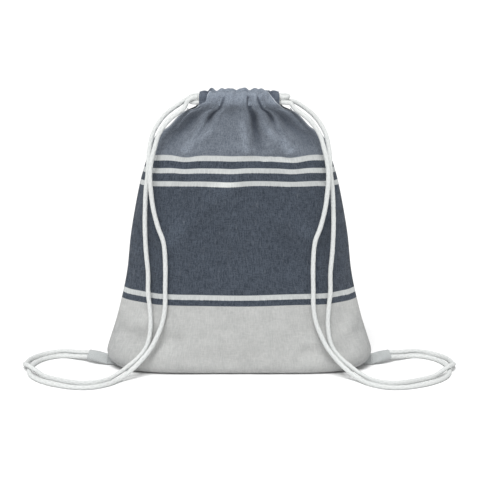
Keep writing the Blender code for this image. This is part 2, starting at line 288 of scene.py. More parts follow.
def meshObject(name, vertices, faces, material=None, uv=None):
    mesh = bpy.data.meshes.new(name)
    mesh.from_pydata([tuple(v) for v in vertices], [], [tuple(f) for f in faces])
    if uv is not None:
        layer = mesh.uv_layers.new(name="pattern")
        loopVertex = np.zeros(len(mesh.loops), dtype=np.int32)
        mesh.loops.foreach_get("vertex_index", loopVertex)
        layer.data.foreach_set("uv", np.asarray(uv, dtype=np.float32)[loopVertex].ravel())
    mesh.polygons.foreach_set("use_smooth", [True] * len(mesh.polygons))
    if material is not None:
        mesh.materials.append(material)
    return linked(name, mesh)


def addValue(obj, name, values):
    attribute = obj.data.attributes.new(name, "FLOAT", "POINT")
    attribute.data.foreach_set("value", np.asarray(values, dtype=np.float32).ravel())


def joined(name, objects):
    for obj in bpy.context.selected_objects:
        obj.select_set(False)
    for obj in objects:
        obj.select_set(True)
    bpy.context.view_layer.objects.active = objects[0]
    bpy.ops.object.join()
    objects[0].name = name
    objects[0].data.name = name
    return objects[0]


def thicken(obj, thickness, levels=1):
    if levels:
        finer = obj.modifiers.new("finer", "SUBSURF")
        finer.levels = finer.render_levels = levels
    wall = obj.modifiers.new("cloth thickness", "SOLIDIFY")
    wall.thickness = thickness
    wall.offset = -1.0
    wall.use_even_offset = False


def dress(obj, body, node):
    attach(obj, body)
    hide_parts(node)
    return obj


# measures of the bag, the same as the CAD's

bag = {
    "height": 0.346,
    "widestHalf": 0.173,
    "neckHalf": 0.0545,
    "depth": 0.042,
    "neckDepth": 0.0175,
    "seamGap": 0.0004,
    "baseFlatness": 8,
}
casing = {
    "half": 0.0505,
    "middleZ": 0.3561,
    "halfHeight": 0.0097,
    "halfDepth": 0.0063,
    "setBack": 0.0072,
    "bow": 0.007,
}
cord = {
    "radius": 0.003,
    "level": 0.0033,
    "exitX": 0.052,
    "gap": 0.0003,
    "bightStart": 0.0545,
    "sharedZ": 0.3506,
    "ringSteps": 24,
    "spacing": 0.001,
    "strandsRound": 4,
    "braidPitch": 0.0105,
    "relief": 0.00007,
    "slack": ((0.00005, 310.0, 0.0), (0.00004, 131.0, 1.3)),  # height, beat and start of a wave
}
tab = {
    "foot": 0.1745,
    "bend": math.radians(30),
    "tilt": math.radians(39),
    "rootZ": 0.009,
    "mouthZ": 0.0098,
    "length": 0.029,
    "flare": 0.014,
    "tape": 0.001,
    "rootHeight": 0.015,
    "wall": 0.0009,
    "halfTurn": 12,
    "stations": (-0.011, -0.004, -0.001, 0.0, 0.0015, 0.003, 0.0045, 0.006, 0.0075, 0.009,
                 0.0102, 0.0115, 0.0128, 0.014, 0.0165, 0.019, 0.0215, 0.024, 0.0265, 0.0282,
                 0.029),
}


def casingLine(x):
    return casing["setBack"] + casing["bow"] * np.cos(0.5 * math.pi * x / 0.055)


# cords

frontStrand = (
    (0.0711, -0.012, 0.345), (0.0887, -0.017, 0.3318), (0.1013, -0.022, 0.3147),
    (0.1077, -0.027, 0.2951), (0.1115, -0.03, 0.279), (0.1129, -0.033, 0.262),
    (0.1118, -0.0345, 0.242), (0.109, -0.0355, 0.22), (0.1034, -0.0365, 0.197),
    (0.0965, -0.038, 0.1767), (0.0945, -0.0395, 0.1482), (0.095, -0.0405, 0.1169),
    (0.0956, -0.0415, 0.092), (0.0995, -0.043, 0.0705), (0.108, -0.045, 0.05),
    (0.116, -0.0475, 0.0362), (0.129, -0.053, 0.0215), (0.1408, -0.06, 0.012),
    (0.1531, -0.068, 0.005), (0.1664, -0.083, 0.0032), (0.1826, -0.0942, 0.0032),
    (0.1994, -0.0975, 0.0032), (0.2209, -0.0926, 0.0032), (0.2457, -0.0789, 0.0032),
    (0.2645, -0.0594, 0.0032), (0.2738, -0.0368, 0.0032), (0.2742, -0.0125, 0.0032),
    (0.266, 0.011, 0.0032), (0.25, 0.0262, 0.0032), (0.233, 0.03, 0.0032),
)
backStrand = (
    (0.0744, 0.0105, 0.3492), (0.0949, 0.007, 0.3342), (0.1087, -0.002, 0.3151),
    (0.114, -0.01, 0.2958), (0.1155, -0.016, 0.2801), (0.1165, -0.0215, 0.263),
    (0.119, -0.025, 0.2402), (0.1203, -0.027, 0.2119), (0.1205, -0.0285, 0.1914),
    (0.1195, -0.03, 0.1641), (0.1172, -0.032, 0.1357), (0.1174, -0.0335, 0.1109),
    (0.1155, -0.035, 0.0901), (0.1145, -0.0375, 0.0697), (0.1168, -0.04, 0.049),
    (0.1225, -0.0425, 0.0352), (0.1325, -0.0465, 0.024), (0.1438, -0.052, 0.0158),
    (0.1535, -0.0585, 0.01), (0.1685, -0.068, 0.004), (0.1842, -0.0774, 0.0032),
    (0.2032, -0.0795, 0.0032), (0.2273, -0.0699, 0.0032), (0.2509, -0.055, 0.0036),
    (0.264, -0.044, 0.0076), (0.274, -0.033, 0.0102), (0.281, -0.02, 0.0084),
    (0.2822, -0.006, 0.0042), (0.277, 0.021, 0.0032), (0.2585, 0.041, 0.0034),
    (0.237, 0.0395, 0.0065),
)
strandLead = ((0.0, 0.0, 0.0), (0.001, 0.0, 0.0), (0.0067, 0.001, 0.06), (0.013, 0.0027, 0.5))
strandEntry = ((0.016, 0.002), (0.007, 0.0006), (0.0, 0.0), (-0.012, 0.0), (-0.013, 0.0))


def tabPlace(side, out, across):
    bend = tab["bend"] if out > 0 else 0.0
    x = tab["foot"] + out * math.cos(bend) + across * math.sin(bend)
    return side * x, out * math.sin(bend) - across * math.cos(bend)


def cordLevel(side):
    return casing["middleZ"] - side * cord["level"]


def strandPath(side, facing, route, over):
    level = cordLevel(side)
    exitX = cord["exitX"] + cord["gap"]
    exitY = casingLine(cord["exitX"])
    points = []
    for out, spread, share in strandLead:
        z = level + (cord["sharedZ"] - level) * share
        points.append((side * (exitX + out), facing * (exitY + spread), z))
    points += [(side * x, y, z) for x, y, z in route]
    half = cord["radius"] + cord["gap"] / 2
    across = half * math.sin(tab["tilt"])
    rise = half * math.cos(tab["tilt"])
    for out, droop in strandEntry:
        x, y = tabPlace(side, tab["length"] + out, -over * across)
        points.append((x, y, tab["mouthZ"] + over * rise - droop))
    return evenly(smoothCurve(points, 16), cord["spacing"])


def runPath(side):
    # in at the back, round the far end of the casing, out at the front
    level = cordLevel(side)
    exitX = cord["exitX"]
    radius = float(casingLine(exitX))
    across = [(exitX, -radius), (exitX - 0.001, -radius)]
    across += [(x, -float(casingLine(x))) for x in np.linspace(exitX - 0.004, -exitX, 30)]
    turn = []
    for angle in np.linspace(0, math.pi, 17):
        turn.append((-cord["bightStart"] - radius * math.sin(angle), -radius * math.cos(angle)))
    back = [(x, -y) for x, y in reversed(across)]
    points = [(side * x, y, level) for x, y in [*across, *turn, *back]]
    return evenly(smoothCurve(points, 4), cord["spacing"])


def framesAlong(path):
    # two directions across the path, carried along it without twist
    tangent = np.gradient(path, axis=0)
    tangent /= np.linalg.norm(tangent, axis=1)[:, None]
    across = np.zeros_like(path)
    start = np.cross(tangent[0], (0.0, 0.0, 1.0))
    across[0] = start / np.linalg.norm(start)
    for index in range(1, len(path)):
        carried = across[index - 1] - tangent[index] * (across[index - 1] @ tangent[index])
        across[index] = carried / np.linalg.norm(carried)
    return across, np.cross(tangent, across)


def braidedTube(name, path, material):
    count = cord["ringSteps"]
    across, above = framesAlong(path)
    far = travelled(path)[:, None]
    angle = 2 * math.pi * np.arange(count)[None, :] / count
    lobes = cord["strandsRound"]
    phase = 2 * math.pi * far / cord["braidPitch"]
    rightwards = np.cos(lobes * angle + phase)
    leftwards = np.cos(lobes * angle - phase)
    braid = np.maximum(rightwards, leftwards) - 0.55
    slack = sum(size * np.sin(far * beat + start) for size, beat, start in cord["slack"])
    radius = cord["radius"] - 0.0001 + cord["relief"] * braid + slack
    ring = across[:, None, :] * (radius * np.cos(angle))[:, :, None]
    ring = ring + above[:, None, :] * (radius * np.sin(angle))[:, :, None]
    vertices = (path[:, None, :] + ring).reshape(-1, 3)
    faces = [tuple(f) for f in gridFaces(len(path), count, closed=True)[:, ::-1]]
    last = (len(path) - 1) * count
    faces.append(tuple(range(count)))
    faces.append(tuple(last + index for index in reversed(range(count))))
    uv = np.stack([np.broadcast_to(angle / (2 * math.pi), (len(path), count)),
                   np.broadcast_to(far, (len(path), count))], axis=-1).reshape(-1, 2)
    return meshObject(name, vertices, faces, material, uv)


def cordCotton():
    board = Board("cordCotton")
    around, along, where = board.places()
    turn = 2 * math.pi
    lobes = cord["strandsRound"]
    rightwards = (around * (turn * lobes) + along * (turn / cord["braidPitch"])).sine()
    leftwards = (around * (turn * lobes) - along * (turn / cord["braidPitch"])).sine()
    crossing = rightwards.larger(leftwards)
    fibres = board.noise(where, 1500.0, 3.0, 0.65)
    handling = board.noise(where, 26.0, 2.0, 0.5)
    yarn = (around * (turn * lobes * 3) + along * (turn * 3 / cord["braidPitch"])).sine()
    # painted shade between the braid strands, lighter on the strands
    colour = board.mix(crossing.ramp(-0.2, 0.9), paint(202, 205, 204), paint(214, 216, 215))
    colour = board.mix(fibres.ramp(0.35, 0.7, 0.0, 0.35), colour, paint(200, 203, 202))
    colour = board.mix(handling.ramp(0.5, 0.8, 0.0, 0.3), colour, paint(198, 199, 196))
    normal = board.bump(crossing * 0.35 + yarn * 0.22 + fibres * 0.5, 0.0003, 0.3)
    return board.finish(colour, fibres.ramp(0.3, 0.7, 0.82, 0.95), normal, 0.25, 0.15, 0.5)


cordMaterial = cordCotton()
strands = []
for word, side in sides:
    for place, facing, route, over in (("Front", -1, frontStrand, -1), ("Back", 1, backStrand, 1)):
        path = strandPath(side, facing, route, over)
        strand = braidedTube(f"{word}{place}Strand", path, cordMaterial)
        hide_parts(f"{word}_cord_{place.lower()}_strand")
        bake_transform(strand)
        strands.append(strand)
    run = braidedTube(f"{word}CasingCord", runPath(side), cordMaterial)
    dress(run, f"{word}_drawcord", f"{word}_drawcord_run")
print("cords laid:", [obj.name for obj in strands])


# cloth of the bag

cloth = {
    "rows": 91,
    "columns": 112,
    "thickness": 0.0011,
    "cutWidth": 0.36,
    "cutHeight": 0.41,
    "foldAtCasing": 0.1,  # a fold narrower than this runs on over the casing
    "gather": 0.0015,
    "waves": (0.0011, 0.0006, 0.0012),  # across, down, and in the lower corners
    "seamFade": (0.0022, 0.0006),
    "deepest": (0.022, 0.0034),  # the most a fold goes in, on the body and under the casing
}
settling = {
    "frames": 20,
    "capOut": 0.0018,
    "capIn": 0.0045,
    "capAlong": 0.002,
    "heldRows": 7,
    "rules": {
        "quality": 5, "mass": 0.25, "tension_stiffness": 18.0, "compression_stiffness": 18.0,
        "shear_stiffness": 6.0, "bending_stiffness": 0.35, "air_damping": 2.0,
        "vertex_group_mass": "held", "pin_stiffness": 1.0, "shrink_min": -0.022,
        "use_pressure": True, "uniform_pressure_force": 2.5,
    },
}
hem = {
    "stations": 150,
    "ringSteps": 34,
    "wall": 0.0012,
    "proud": 0.0026,
    "ruffle": 0.0011,
    "grooveX": 0.0385,
    "grooveDepth": 0.0026,
    "grooveWidth": 0.003,
    "bulk": 0.008,
    "power": (0.84, 0.08),
    "crest": 0.0005,
    "drumFrom": (0.0365, 0.0425),
}

# from the base seam to the neck: half width and height at the side, depth and height at the middle
lowerRows = (
    (0.15, 0.0, 0.0, 0.0), (0.156, 0.002, 0.014, 0.0), (0.163, 0.0055, 0.032, 0.0),
    (0.169, 0.0115, 0.04, 0.0042), (0.173, 0.021, 0.0418, 0.0165),
)
# shares of the height, the width and the depth
upperRows = (
    (0.116, 0.962, 1.0), (0.243, 0.861, 1.0), (0.376, 0.776, 0.952), (0.532, 0.722, 0.881),
    (0.708, 0.624, 0.786), (0.809, 0.54, 0.714), (0.855, 0.502, 0.679), (0.902, 0.418, 0.631),
    (0.926, 0.304, 0.595), (0.977, 0.16, 0.488),
)
# each fold runs from a low point to a high one: place across and height, then width and depth in
frontFolds = (
    (-0.51, 0.272, -0.46, 0.345, 0.05, 0.009), (0.16, 0.262, 0.25, 0.348, 0.065, 0.011),
    (0.44, 0.268, 0.53, 0.348, 0.045, 0.009), (-0.76, 0.262, -0.74, 0.33, 0.14, 0.012),
    (0.84, 0.262, 0.72, 0.33, 0.14, 0.012), (-0.12, 0.318, -0.13, 0.344, 0.12, 0.0035),
)
backFolds = (
    (-0.18, 0.262, -0.24, 0.345, 0.05, 0.0095), (0.08, 0.27, 0.06, 0.346, 0.05, 0.0085),
    (0.33, 0.262, 0.39, 0.345, 0.045, 0.009), (-0.45, 0.255, -0.54, 0.34, 0.065, 0.007),
    (0.65, 0.24, 0.6, 0.318, 0.15, 0.0085), (-0.74, 0.24, -0.68, 0.315, 0.11, 0.0065),
    (0.2, 0.215, 0.17, 0.308, 0.08, -0.004), (-0.34, 0.21, -0.38, 0.308, 0.075, -0.0042),
)
# soft swags over the full part: from a point to a point, x and z, then width and rise outwards
frontSwags = (
    (-0.068, 0.294, -0.042, 0.32, 0.009, 0.0055), (0.01, 0.294, 0.004, 0.324, 0.008, 0.0044),
    (0.065, 0.294, 0.041, 0.318, 0.0085, 0.0055), (-0.012, 0.25, -0.092, 0.176, 0.014, 0.0046),
    (0.045, 0.205, 0.094, 0.182, 0.013, 0.0036), (-0.05, 0.215, -0.02, 0.15, 0.021, -0.0042),
    (0.03, 0.24, 0.06, 0.15, 0.022, -0.0042), (-0.03, 0.12, 0.07, 0.128, 0.02, 0.0016),
    (-0.15, 0.062, -0.095, 0.07, 0.009, 0.0026), (-0.14, 0.04, -0.08, 0.046, 0.01, -0.0042),
    (0.15, 0.058, 0.1, 0.05, 0.009, 0.0026), (0.14, 0.034, 0.085, 0.03, 0.01, -0.0042),
    (-0.06, 0.028, 0.01, 0.02, 0.012, -0.002), (0.05, 0.06, -0.02, 0.052, 0.02, 0.0016),
)
backSwags = (
    (-0.06, 0.296, -0.038, 0.32, 0.011, 0.0046), (0.015, 0.296, 0.012, 0.324, 0.01, 0.0036),
    (0.058, 0.296, 0.036, 0.318, 0.01, 0.0046), (0.02, 0.245, 0.09, 0.18, 0.015, 0.0046),
    (-0.035, 0.23, -0.095, 0.165, 0.015, 0.0042), (0.01, 0.21, -0.025, 0.14, 0.022, -0.0044),
    (0.06, 0.13, -0.06, 0.112, 0.02, 0.0016), (-0.15, 0.06, -0.09, 0.054, 0.01, 0.0026),
    (0.148, 0.064, 0.092, 0.048, 0.01, 0.0026), (0.06, 0.03, -0.01, 0.024, 0.012, -0.002),
)

sheets = {
    "front": {"facing": -1, "folds": frontFolds, "swags": frontSwags, "seed": 11},
    "back": {"facing": 1, "folds": backFolds, "swags": backSwags, "seed": 29},
}


def profileRows(count):
    rows = list(lowerRows)
    for height, width, depth in upperRows:
        z = height * bag["height"]
        half = bag["neckHalf"] + width * (bag["widestHalf"] - bag["neckHalf"])
        rows.append((half, z, depth * bag["depth"], z))
    rows.append((bag["neckHalf"], bag["height"], bag["neckDepth"], bag["height"]))
    fine = np.maximum(smoothCurve(rows, 24), 0.0)
    middle = travelled(fine[:, 2:])
    edge = travelled(fine[:, :2])
    # rows stand closer together where the cloth is gathered
    density = 1.0 + 0.9 * smoothStep(0.2, 0.29, fine[:, 3])
    step = np.diff(0.5 * (middle + edge)) * 0.5 * (density[1:] + density[:-1])
    measure = np.concatenate([[0.0], np.cumsum(step)])
    places = np.linspace(0.0, measure[-1], count)
    picked = np.stack([np.interp(places, measure, fine[:, k]) for k in range(4)], axis=1)
    return picked, np.interp(places, measure, middle)


def wander(values, seed, count=5, low=2.0, high=9.0):
    # a smooth wave without a regular beat, about -1 to 1
    random = np.random.RandomState(seed)
    total = np.zeros_like(values)
    for _ in range(count):
        total += np.cos(values * random.uniform(low, high) + random.uniform(0, 2 * math.pi))
    return total / count ** 0.5


def foldDepth(u, z, folds):
    # how far the folds draw the cloth in
    drawn = np.zeros_like(u)
    for uLow, zLow, uHigh, zHigh, width, depth in folds:
        share = np.clip((z - zLow) / (zHigh - zLow), 0.0, 1.3)
        middle = uLow + (uHigh - uLow) * share
        strength = smoothStep(0.0, 1.0, share)
        if zHigh < 0.34:
            strength = strength * (1.0 - 0.6 * smoothStep(zHigh, 0.352, z))
        spread = width * (1.25 - 0.35 * share)
        drawn += depth * strength * np.exp(-((u - middle) / spread) ** 2)
    return drawn


def byWidth(folds):
    limit = cloth["foldAtCasing"]
    return [f for f in folds if f[4] < limit], [f for f in folds if f[4] >= limit]


def gathers(u, z, seed):
    pitch = wander(u * 30.0 + 2.0 * wander(u * 3.0, seed + 4, 3), seed, 4, 0.75, 1.35)
    return cloth["gather"] * pitch * smoothStep(0.302, 0.344, z)


def waves(u, z, seed):
    across = wander(u * 3.1 + z * 6.0, seed + 1, 5, 1.0, 3.2)
    down = wander(u * 1.6 + z * 34.0, seed + 2, 4, 0.6, 1.5)
    low = smoothStep(0.1, 0.02, z)
    corner = wander(z * 150.0 + np.abs(u) * 5.0, seed + 3, 3, 0.7, 1.6) * low * np.abs(u) ** 3
    wide, tall, cornered = cloth["waves"]
    return wide * across + tall * down * (1.0 - 0.5 * low) + cornered * corner


def swagRise(x, z, swags):
    total = np.zeros_like(x)
    for startX, startZ, endX, endZ, width, rise in swags:
        alongX, alongZ = endX - startX, endZ - startZ
        share = ((x - startX) * alongX + (z - startZ) * alongZ) / (alongX ** 2 + alongZ ** 2)
        share = np.clip(share, 0.0, 1.0)
        off = (x - startX - share * alongX) ** 2 + (z - startZ - share * alongZ) ** 2
        total += rise * np.exp(-off / width ** 2)
    return total


def limited(drawn, deepest):
    # fades out what goes deeper than the limit
    return np.where(drawn > 0, deepest * np.tanh(drawn / deepest), np.maximum(drawn, -0.0015))


def paintedShadeAndLight(x, u, z, folds, swags):
    # how much shade or light is painted into the colour: 1 is painted shade, in the bottom of a
    # fold and under the bag, -1 is a painted highlight, on a ridge
    # painted shade under the bag and towards its lower corners
    base = 0.2 * smoothStep(0.03, 0.0, z) + 0.3 * smoothStep(0.1, 0.05, z) * np.abs(u) ** 4
    # painted shade in the folds, less in the broad ones
    narrow, broad = (foldDepth(u, z, some) for some in byWidth(folds))
    folded = (narrow + 0.5 * broad) * (1.0 - smoothStep(0.359, 0.366, z)) / 0.0095
    # painted highlight on the rises of the swags and a little painted shade in their dents, weaker
    # low on the bag
    rise = swagRise(x, z, swags)
    rise = np.where(rise > 0, rise, 0.3 * rise)
    ridges = rise * (0.75 + 0.25 * smoothStep(0.27, 0.295, z)) / 0.006
    ridges = ridges * (0.15 + 0.85 * smoothStep(0.1, 0.14, z))
    return np.clip(folded + base - ridges, -1.0, 1.0)


def casingSurface(x, angle, facing, folds, seed, grow=0.0, drums=1.0):
    # a point of the casing's outside at a place along it and an angle round it, 0 facing out
    out = np.cos(angle)
    up = np.sin(angle)
    drum = smoothStep(*hem["drumFrom"], np.abs(x)) * drums
    power = hem["power"][0] + hem["power"][1] * drum
    y = np.sign(out) * np.abs(out) ** power * (casing["halfDepth"] + grow)
    z = np.sign(up) * np.abs(up) ** power * (casing["halfHeight"] + 0.35 * grow - 0.0012 * drum)
    ruffle = wander(x * 400.0 + 0 * angle, seed, 4, 0.7, 1.5)
    second = wander(x * 640.0 + 1.4 * up, seed + 9, 4, 0.7, 1.4)
    loose = 1.0 - 0.8 * drum
    loosely = hem["ruffle"] * ruffle * (0.35 + 0.65 * up) + 0.0004 * second
    swell = 1.0 + loosely / hem["bulk"] * loose
    groove = np.exp(-((np.abs(x) - hem["grooveX"]) / hem["grooveWidth"]) ** 2) * drums
    notch = groove * (0.5 + 0.5 * up) * hem["grooveDepth"] / hem["bulk"]
    ending = smoothStep(0.0435, 0.051, np.abs(x)) ** 1.6 * drums
    y = y * (swell - 0.3 * notch) * (1 - 0.05 * ending)
    height = casing["middleZ"] + z * (swell - notch) * (1 - 0.22 * ending)
    u = x / bag["neckHalf"] + 0 * angle
    front = np.clip(out, 0.0, 1.0) ** 0.5
    drawn = foldDepth(u, height, byWidth(folds)[0]) * (1.0 - smoothStep(0.356, 0.366, height))
    drawn = drawn + gathers(u, height, seed)
    # no deeper than the cord inside
    y = y - limited(drawn, 0.0017 + np.maximum(grow - 0.0009, 0.0)) * front * (1 - 0.8 * drum)
    top = np.clip(up, 0.0, 1.0) * (1 - drum)
    crest = wander(x * 330.0 + 0 * angle, seed + 17, 4, 0.7, 1.6)
    height = height + hem["crest"] * crest * top
    return np.stack([x + 0 * angle, facing * (casingLine(x) + y), height + 0 * x], axis=-1)


def clothPoint(u, row, facing, folds, swags, seed):
    halfWidth, sideZ, depth, middleZ = row
    edge = np.abs(u) ** bag["baseFlatness"]
    z = middleZ + (sideZ - middleZ) * edge
    low = smoothStep(0.055, 0.015, middleZ)
    squareness = 2.0 + 3.2 * low
    crown = np.clip(1.0 - np.abs(u) ** squareness, 0.0, 1.0) ** 0.5
    x = (halfWidth + 0.0018 * smoothStep(0.07, 0.02, sideZ)) * u
    y = bag["seamGap"] + depth * crown
    rise = smoothStep(0.288, 0.346, z)
    slit = 1.0 - smoothStep(0.341, 0.352, z)
    hemFront = casingLine(x) + casing["halfDepth"] + 0.001
    hemFront = hemFront * np.clip(1.0 - slit * np.abs(u) ** 7, 0.0, 1.0) ** 0.5 + bag["seamGap"]
    y = y + (hemFront - y) * rise
    inside = np.maximum(crown ** 0.7, 0.8 * (1 - slit))
    onBody, underCasing = cloth["deepest"]
    deepest = onBody + (underCasing - onBody) * smoothStep(0.318, 0.346, z)
    drawn = limited(foldDepth(u, z, folds) + gathers(u, z, seed), deepest)
    soft = waves(u, z, seed) - swagRise(x, z, swags)
    lift = smoothStep(0.0, 0.022, z) * smoothStep(0.0, 0.03, depth)
    y = y - drawn * inside - soft * inside * lift
    y = np.maximum(y, bag["seamGap"] + 0.15 * depth * crown)
    return np.stack([x, facing * y, np.maximum(z, 0.0)], axis=-1)


# the cloth runs on up the outside of the casing and over its top: angle round it, half width
hemRows = (
    (-26, 0.051), (-14, 0.048), (-3, 0.0462), (8, 0.0446), (20, 0.043), (33, 0.0415), (46, 0.04),
    (58, 0.0386), (70, 0.0374), (81, 0.0364), (92, 0.0356), (104, 0.035),
)


def clothGrid(facing, folds, swags, seed):
    rows, upward = profileRows(cloth["rows"] + 1)
    step = np.linspace(-1.0, 1.0, cloth["columns"] + 1)
    u = np.sin(step * 0.5 * math.pi) * 0.35 + step * 0.65
    lines = [clothPoint(u, row, facing, folds, swags, seed) for row in rows]
    heights = list(upward)
    for degrees, half in hemRows:
        angle = np.full_like(u, math.radians(degrees))
        proud = hem["proud"] * (1.0 - 1.1 * np.abs(u) ** 16)
        lines.append(casingSurface(u * half, angle, facing, folds, seed, proud, 0.0))
        middle = cloth["columns"] // 2
        heights.append(heights[-1] + float(np.linalg.norm(lines[-1][middle] - lines[-2][middle])))
    grid = np.array(lines)
    upward = np.array(heights)
    drop = 0.0014 * smoothStep(0.14, 0.27, upward - 0.035)[:, None] * (u ** 2)[None, :]
    # the stripes dip where the gathers run out
    pulled = np.exp(-((np.abs(grid[:, :, 0]) - 0.068) / 0.013) ** 2)
    pulled += 0.5 * np.exp(-((grid[:, :, 0] + 0.008) / 0.012) ** 2)
    drop = drop + 0.0019 * pulled * smoothStep(0.235, 0.285, grid[:, :, 2])
    pattern = np.stack([np.broadcast_to(u * cloth["cutWidth"] / 2, grid.shape[:2]),
                        upward[:, None] + drop], axis=-1)
    across = np.broadcast_to(u, grid.shape[:2])
    # painted shade and painted highlight for each point of the cloth
    paintedShading = paintedShadeAndLight(grid[:, :, 0], across, grid[:, :, 2], folds, swags)
    return grid, pattern, paintedShading


def settle(grids):
    # lets the cloth buckle and billow a little between its seams, with a cap on every move
    shapes = [grid.reshape(-1, 3) for grid in grids]
    rows, columns = grids[0].shape[:2]
    faces = gridFaces(rows, columns)
    offset = len(shapes[0])
    both = np.concatenate(shapes)
    body = meshObject("settling", both, np.concatenate([faces, faces[:, ::-1] + offset]))
    height = both[:, 2]
    rim = np.zeros((rows, columns))
    rim[:, 0] = rim[:, -1] = 1.0
    rim[-len(hemRows) - 3:, :] = 1.0
    rim[:settling["heldRows"], :] = 1.0
    hold = np.maximum(np.tile(rim.ravel(), 2), smoothStep(0.29, 0.325, height))
    group = body.vertex_groups.new(name="held")
    for index, weight in enumerate(hold):
        if weight > 0.01:
            group.add([index], float(weight), "REPLACE")
    body.modifiers.new("settle", "CLOTH")
    made = body.modifiers["settle"]
    for key, value in settling["rules"].items():
        setattr(made.settings, key, value)
    made.settings.effector_weights.gravity = 0.0
    made.collision_settings.use_collision = False
    made.collision_settings.use_self_collision = False
    made.point_cache.frame_start = 1
    made.point_cache.frame_end = settling["frames"]
    for number in range(1, settling["frames"] + 1):
        bpy.context.scene.frame_set(number)
    moved = body.evaluated_get(bpy.context.evaluated_depsgraph_get()).to_mesh()
    settled = np.zeros(len(both) * 3, dtype=np.float32)
    moved.vertices.foreach_get("co", settled)
    settled = settled.reshape(-1, 3).astype(float)
    body.to_mesh_clear()
    bpy.data.objects.remove(body)
    bpy.context.scene.frame_set(1)
    change = settled - both
    facing = np.repeat([-1.0, 1.0], offset)
    outward = np.clip(change[:, 1] * facing, -settling["capIn"], settling["capOut"])
    change[:, 1] = outward * facing
    for axis in (0, 2):
        change[:, axis] = np.clip(change[:, axis], -settling["capAlong"], settling["capAlong"])
    result = both + change
    result[:, 2] = np.maximum(result[:, 2], 0.0)
    print("cloth settled, furthest", round(float(np.linalg.norm(change, axis=1).max()), 4))
    return [half.reshape(grids[0].shape) for half in (result[:offset], result[offset:])]


stripes = {
    # heights on the middle of the front, from the floor
    "lowBand": 0.0945,
    "lowDark": 0.1022,
    "lowWhite": 0.1088,
    "whites": ((0.2473, 0.2537), (0.2641, 0.2704), (0.2798, 0.2866)),
    "yarn": 0.00085,
    "softness": 0.0004,
}


def heightToPattern(z):
    rows, upward = profileRows(400)
    above = np.argmax(rows[:, 3] > 0.0005)
    return float(np.interp(z, rows[above - 1:, 3], upward[above - 1:]))


# each yarn: how far its streaks reach, its two tones, then tone and strength for each cover
yarns = {
    "dark": ((0.34, 0.66), (38, 46, 56), (74, 82, 93), (
        ("weft", (0.42, 0.7), (0.0, 0.5), (84, 92, 103)),
        ("mottle", (0.4, 0.62), (0.0, 0.4), (84, 92, 103)),
        ("mottle", (0.4, 0.52), (0.35, 0.0), (36, 43, 53)),
        ("weave", (0.0, 1.0), (0.35, 0.0), (34, 40, 50)))),
    "upper": ((0.34, 0.66), (84, 91, 101), (114, 121, 131), (
        ("weft", (0.42, 0.7), (0.0, 0.5), (127, 134, 143)),
        ("mottle", (0.4, 0.62), (0.0, 0.4), (127, 134, 143)),
        ("mottle", (0.4, 0.52), (0.3, 0.0), (76, 84, 94)),
        ("weave", (0.0, 1.0), (0.3, 0.0), (66, 74, 86)))),
    "white": ((0.3, 0.7), (186, 189, 189), (202, 205, 204), (
        ("weave", (0.0, 1.0), (0.25, 0.0), (154, 158, 160)),)),
    "grey": ((0.3, 0.7), (171, 172, 171), (187, 188, 186), (
        ("weft", (0.45, 0.72), (0.0, 0.45), (199, 199, 197)),
        ("mottle", (0.35, 0.7), (0.0, 0.25), (198, 198, 196)),
        ("weave", (0.0, 1.0), (0.22, 0.0), (147, 149, 149)))),
}


